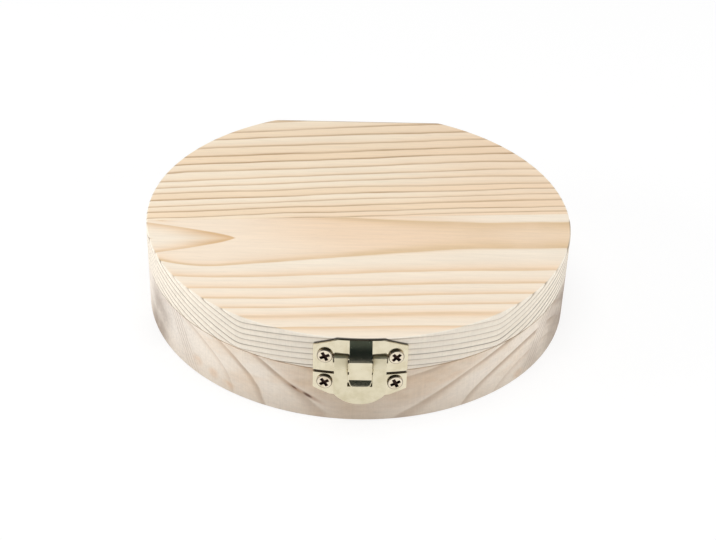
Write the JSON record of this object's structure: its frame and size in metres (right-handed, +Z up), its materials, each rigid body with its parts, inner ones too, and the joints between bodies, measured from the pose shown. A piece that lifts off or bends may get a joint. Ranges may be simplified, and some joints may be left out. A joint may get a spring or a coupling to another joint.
{
  "type": "baby tooth box",
  "caption": "Round pine keepsake box with a hinged solid lid, a metal snap clasp on the front, and milled tooth pockets round a keepsake well.",
  "frame": {"origin": "on the underside, below the middle of the round outline", "axes": "+Z up; the clasp faces -Y and the hinge flat faces +Y; +X to the right, seen from the clasp side"},
  "size_m": [0.13, 0.1325, 0.0285],
  "materials": {
    "pine": "bare sanded pine",
    "clasp_plating": "polished pale gold plating",
    "hinge_plating": "polished pale gold plating",
    "screw_steel": "plated steel"
  },
  "bodies": {
    "base": {"base_block": "pine", "clasp_base_plate": "clasp_plating", "clasp_base_screw_left": "screw_steel", "clasp_base_screw_right": "screw_steel", "left_hinge_base_leaf": "hinge_plating", "right_hinge_base_leaf": "hinge_plating", "left_hinge_pin": "screw_steel", "right_hinge_pin": "screw_steel", "left_hinge_base_screw_outer": "screw_steel", "left_hinge_base_screw_inner": "screw_steel", "right_hinge_base_screw_outer": "screw_steel", "right_hinge_base_screw_inner": "screw_steel"},
    "lid": {"lid_block": "pine", "clasp_lid_plate": "clasp_plating", "clasp_pin": "screw_steel", "clasp_lid_screw_left": "screw_steel", "clasp_lid_screw_right": "screw_steel", "left_hinge_lid_leaf": "hinge_plating", "right_hinge_lid_leaf": "hinge_plating", "left_hinge_lid_screw_outer": "screw_steel", "left_hinge_lid_screw_inner": "screw_steel", "right_hinge_lid_screw_outer": "screw_steel", "right_hinge_lid_screw_inner": "screw_steel"},
    "flap": {"clasp_flap": "clasp_plating"}
  },
  "joints": [
    {"name": "lid_hinge", "type": "hinge", "parent": "base", "child": "lid", "pos_m": [0, 0.0607, 0.01715], "axis": [-1, 0, 0], "range_deg": [0, 175]},
    {"name": "flap_hinge", "type": "hinge", "parent": "lid", "child": "flap", "pos_m": [0, -0.0654, 0.0222], "axis": [-1, 0, 0], "range_deg": [0, 105]}
  ]
}
